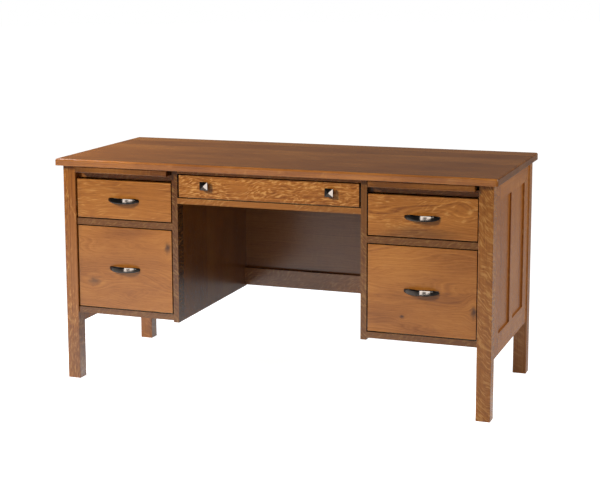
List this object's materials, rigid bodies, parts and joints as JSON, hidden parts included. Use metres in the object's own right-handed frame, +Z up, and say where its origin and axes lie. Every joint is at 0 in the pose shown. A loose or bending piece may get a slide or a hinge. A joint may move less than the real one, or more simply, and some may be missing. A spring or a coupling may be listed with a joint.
{
  "type": "pedestal desk",
  "caption": "Pedestal desk in stained oak: a flat top on square legs, drawers and a pull-out writing slide in each pedestal, and a shallow drawer over the kneehole.",
  "frame": {"origin": "on the floor, under the middle of the top", "axes": "+Z up, -Y out of the front with the drawers and kneehole, +X to the right of a viewer facing the front"},
  "size_m": [1.524, 0.66, 0.775],
  "materials": {
    "top_oak": "stained quarter-sawn oak, satin lacquer",
    "frame_oak": "stained quarter-sawn oak, satin lacquer",
    "drawer_front_oak": "stained quarter-sawn oak, satin lacquer",
    "writing_slide_oak": "stained oak, satin lacquer",
    "panel_oak": "stained oak veneer, satin lacquer",
    "drawer_box_maple": "clear lacquered maple",
    "hidden_poplar": "bare planed poplar",
    "zinc_steel": "zinc plated",
    "dark_bronze": "dark bronze plating, polished"
  },
  "bodies": {
    "carcase": {"desk_top": "top_oak", "left_end_top_rail": "frame_oak", "left_end_bottom_rail": "frame_oak", "left_end_stiles": "frame_oak", "left_end_panels": "panel_oak", "left_slide_rail": "frame_oak", "left_middle_rail": "frame_oak", "left_bottom_rail": "frame_oak", "right_end_top_rail": "frame_oak", "right_end_bottom_rail": "frame_oak", "right_end_stiles": "frame_oak", "right_end_panels": "panel_oak", "right_slide_rail": "frame_oak", "right_middle_rail": "frame_oak", "right_bottom_rail": "frame_oak", "centre_top_rail": "frame_oak", "centre_apron": "frame_oak", "left_inner_stile": "frame_oak", "left_inner_panel": "panel_oak", "right_inner_stile": "frame_oak", "right_inner_panel": "panel_oak", "back_panel": "panel_oak", "back_top_rails": "frame_oak", "pedestal_back_rails": "frame_oak", "kneehole_back_rail": "frame_oak", "front_left_leg": "frame_oak", "back_left_leg": "frame_oak", "front_right_leg": "frame_oak", "back_right_leg": "frame_oak", "slide_channels": "zinc_steel", "slide_cleats": "hidden_poplar", "writing_slide_guides": "hidden_poplar"},
    "left_small_drawer": {"left_small_drawer_front": "drawer_front_oak", "left_small_drawer_box": "drawer_box_maple", "left_small_drawer_pull": "dark_bronze", "left_small_drawer_slide_runners": "zinc_steel"},
    "left_small_drawer_slide_middles": {"left_small_drawer_slide_middles": "zinc_steel"},
    "left_file_drawer": {"left_file_drawer_front": "drawer_front_oak", "left_file_drawer_box": "drawer_box_maple", "left_file_drawer_pull": "dark_bronze", "left_file_drawer_slide_runners": "zinc_steel"},
    "left_file_drawer_slide_middles": {"left_file_drawer_slide_middles": "zinc_steel"},
    "right_small_drawer": {"right_small_drawer_front": "drawer_front_oak", "right_small_drawer_box": "drawer_box_maple", "right_small_drawer_pull": "dark_bronze", "right_small_drawer_slide_runners": "zinc_steel"},
    "right_small_drawer_slide_middles": {"right_small_drawer_slide_middles": "zinc_steel"},
    "right_file_drawer": {"right_file_drawer_front": "drawer_front_oak", "right_file_drawer_box": "drawer_box_maple", "right_file_drawer_pull": "dark_bronze", "right_file_drawer_slide_runners": "zinc_steel"},
    "right_file_drawer_slide_middles": {"right_file_drawer_slide_middles": "zinc_steel"},
    "centre_drawer": {"centre_drawer_front": "drawer_front_oak", "centre_drawer_box": "drawer_box_maple", "centre_drawer_knobs": "dark_bronze", "centre_drawer_slide_runners": "zinc_steel"},
    "centre_drawer_slide_middles": {"centre_drawer_slide_middles": "zinc_steel"},
    "left_writing_slide": {"left_writing_slide": "writing_slide_oak"},
    "right_writing_slide": {"right_writing_slide": "writing_slide_oak"}
  },
  "joints": [
    {"name": "left_small_drawer_slide", "type": "slide", "parent": "carcase", "child": "left_small_drawer", "axis": [0, -1, 0], "range_m": [0, 0.5]},
    {"name": "left_small_drawer_slide_middles_slide", "type": "slide", "parent": "carcase", "child": "left_small_drawer_slide_middles", "axis": [0, -1, 0], "range_m": [0, 0.25]},
    {"name": "left_file_drawer_slide", "type": "slide", "parent": "carcase", "child": "left_file_drawer", "axis": [0, -1, 0], "range_m": [0, 0.5]},
    {"name": "left_file_drawer_slide_middles_slide", "type": "slide", "parent": "carcase", "child": "left_file_drawer_slide_middles", "axis": [0, -1, 0], "range_m": [0, 0.25]},
    {"name": "right_small_drawer_slide", "type": "slide", "parent": "carcase", "child": "right_small_drawer", "axis": [0, -1, 0], "range_m": [0, 0.5]},
    {"name": "right_small_drawer_slide_middles_slide", "type": "slide", "parent": "carcase", "child": "right_small_drawer_slide_middles", "axis": [0, -1, 0], "range_m": [0, 0.25]},
    {"name": "right_file_drawer_slide", "type": "slide", "parent": "carcase", "child": "right_file_drawer", "axis": [0, -1, 0], "range_m": [0, 0.5]},
    {"name": "right_file_drawer_slide_middles_slide", "type": "slide", "parent": "carcase", "child": "right_file_drawer_slide_middles", "axis": [0, -1, 0], "range_m": [0, 0.25]},
    {"name": "centre_drawer_slide", "type": "slide", "parent": "carcase", "child": "centre_drawer", "axis": [0, -1, 0], "range_m": [0, 0.4]},
    {"name": "centre_drawer_slide_middles_slide", "type": "slide", "parent": "carcase", "child": "centre_drawer_slide_middles", "axis": [0, -1, 0], "range_m": [0, 0.2]},
    {"name": "left_writing_slide_slide", "type": "slide", "parent": "carcase", "child": "left_writing_slide", "axis": [0, -1, 0], "range_m": [0, 0.3]},
    {"name": "right_writing_slide_slide", "type": "slide", "parent": "carcase", "child": "right_writing_slide", "axis": [0, -1, 0], "range_m": [0, 0.3]}
  ],
  "couplings": [
    {"joint": "left_small_drawer_slide_middles_slide", "follows": "left_small_drawer_slide", "ratio": 0.5},
    {"joint": "left_file_drawer_slide_middles_slide", "follows": "left_file_drawer_slide", "ratio": 0.5},
    {"joint": "right_small_drawer_slide_middles_slide", "follows": "right_small_drawer_slide", "ratio": 0.5},
    {"joint": "right_file_drawer_slide_middles_slide", "follows": "right_file_drawer_slide", "ratio": 0.5},
    {"joint": "centre_drawer_slide_middles_slide", "follows": "centre_drawer_slide", "ratio": 0.5}
  ]
}
